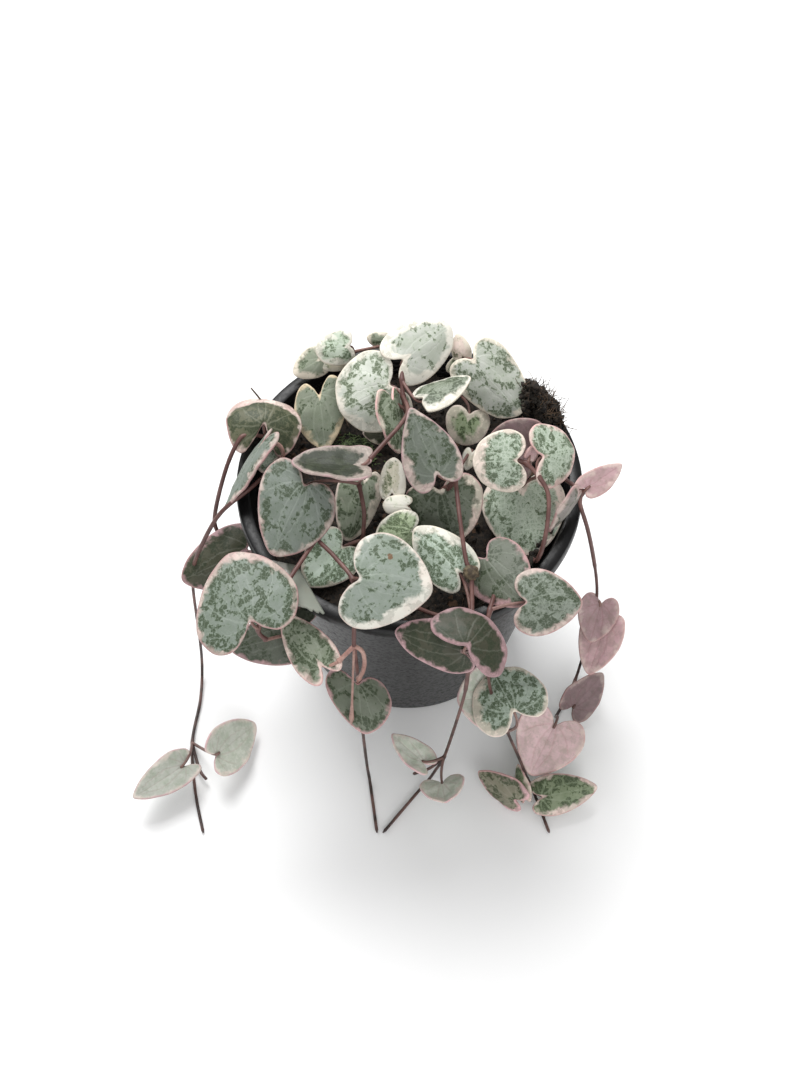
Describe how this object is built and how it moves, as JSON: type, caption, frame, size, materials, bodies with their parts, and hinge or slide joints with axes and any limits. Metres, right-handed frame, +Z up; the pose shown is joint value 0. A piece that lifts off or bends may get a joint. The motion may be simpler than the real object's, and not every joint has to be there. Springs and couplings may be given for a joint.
{
  "type": "potted string of hearts plant",
  "caption": "Variegated string of hearts in a small black nursery pot, with heart-shaped marbled leaves on thin trailing stems",
  "frame": {"origin": "centre of the pot's flat base, on the surface that it stands on", "axes": "+Z up through the pot's middle, -Y towards the front where most strands trail, +X to the right seen from the front"},
  "size_m": [0.1506, 0.1262, 0.1098],
  "materials": {
    "pot": "black moulded plastic, fairly glossy",
    "soil": "dark fibrous potting soil",
    "plant_label": "blank white plastic",
    "leaf": "waxy, marbled grey-green with cream and pink edges"
  },
  "bodies": {
    "root": {"pot": "pot", "soil": "soil", "plant_label": "plant_label", "strand_left": "leaf", "strand_front_left": "leaf", "strand_front": "leaf", "strand_front_right": "leaf", "strand_right": "leaf", "shoot_left": "leaf", "shoot_back": "leaf", "shoot_back_left": "leaf", "shoot_back_right": "leaf", "shoot_right": "leaf", "shoot_middle": "leaf"}
  },
  "joints": []
}
